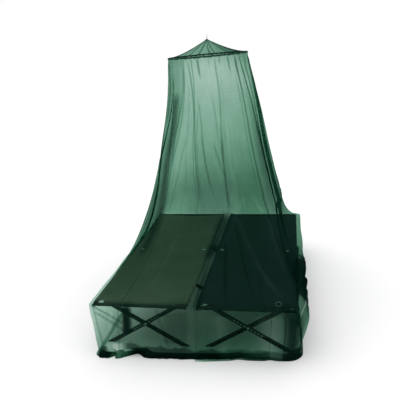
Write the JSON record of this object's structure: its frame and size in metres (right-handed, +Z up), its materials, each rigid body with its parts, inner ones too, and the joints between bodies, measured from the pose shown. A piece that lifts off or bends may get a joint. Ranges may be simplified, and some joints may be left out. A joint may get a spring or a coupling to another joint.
{
  "type": "mosquito net canopy over two folding camp cots",
  "caption": "Sheer dark green mosquito net canopy, hung from one hook and spread by a hoop, falling over folding camp cots to the floor.",
  "frame": {"origin": "on the floor, in the middle under the two cots", "axes": "+Z up, +Y from the foot end to the head end of the cots, +X to the right of someone who looks from the foot end"},
  "size_m": [1.4903, 2.1078, 2.063],
  "materials": {
    "net": "sheer knotless polyester mesh, dark green, matt",
    "net_band": "woven tape over gathered mesh, very dark green",
    "canvas_olive": "plain woven canvas, olive green",
    "canvas_dark": "plain woven canvas, dark blue-green",
    "painted_steel": "dark green satin paint",
    "bare_steel": "zinc plated, satin",
    "hoop_plastic": "flexible plastic rod, matt"
  },
  "bodies": {
    "root": {"apex_cap": "net_band", "ceiling_hook": "bare_steel", "ceiling_plate": "bare_steel", "hanging_loop": "net_band", "hoop": "hoop_plastic", "hoop_sleeve": "net_band", "hoop_tie": "net_band", "left_cot_bar_foot": "painted_steel", "left_cot_bar_head": "painted_steel", "left_cot_canvas": "canvas_olive", "left_cot_leg_foot_a": "painted_steel", "left_cot_leg_foot_b": "painted_steel", "left_cot_leg_head_a": "painted_steel", "left_cot_leg_head_b": "painted_steel", "left_cot_leg_middle_a": "painted_steel", "left_cot_leg_middle_b": "painted_steel", "left_cot_pivot_foot": "bare_steel", "left_cot_pivot_head": "bare_steel", "left_cot_pivot_middle": "bare_steel", "left_cot_plate_foot": "bare_steel", "left_cot_plate_inner": "bare_steel", "left_cot_plate_outer": "bare_steel", "left_cot_rail_left": "painted_steel", "left_cot_rail_right": "painted_steel", "right_cot_bar_foot": "painted_steel", "right_cot_bar_head": "painted_steel", "right_cot_canvas": "canvas_dark", "right_cot_leg_foot_a": "painted_steel", "right_cot_leg_foot_b": "painted_steel", "right_cot_leg_head_a": "painted_steel", "right_cot_leg_head_b": "painted_steel", "right_cot_leg_middle_a": "painted_steel", "right_cot_leg_middle_b": "painted_steel", "right_cot_pivot_foot": "bare_steel", "right_cot_pivot_head": "bare_steel", "right_cot_pivot_middle": "bare_steel", "right_cot_plate_foot": "bare_steel", "right_cot_plate_inner": "bare_steel", "right_cot_plate_outer": "bare_steel", "right_cot_rail_left": "painted_steel", "right_cot_rail_right": "painted_steel", "right_cot_ring": "bare_steel", "roof_gore_1": "net", "roof_gore_2": "net", "roof_gore_3": "net", "roof_gore_4": "net", "roof_gore_5": "net", "roof_gore_6": "net", "skirt_back_left": "net", "skirt_back_right": "net", "skirt_front_left": "net", "skirt_front_right": "net", "skirt_left": "net", "skirt_right": "net"}
  },
  "joints": []
}
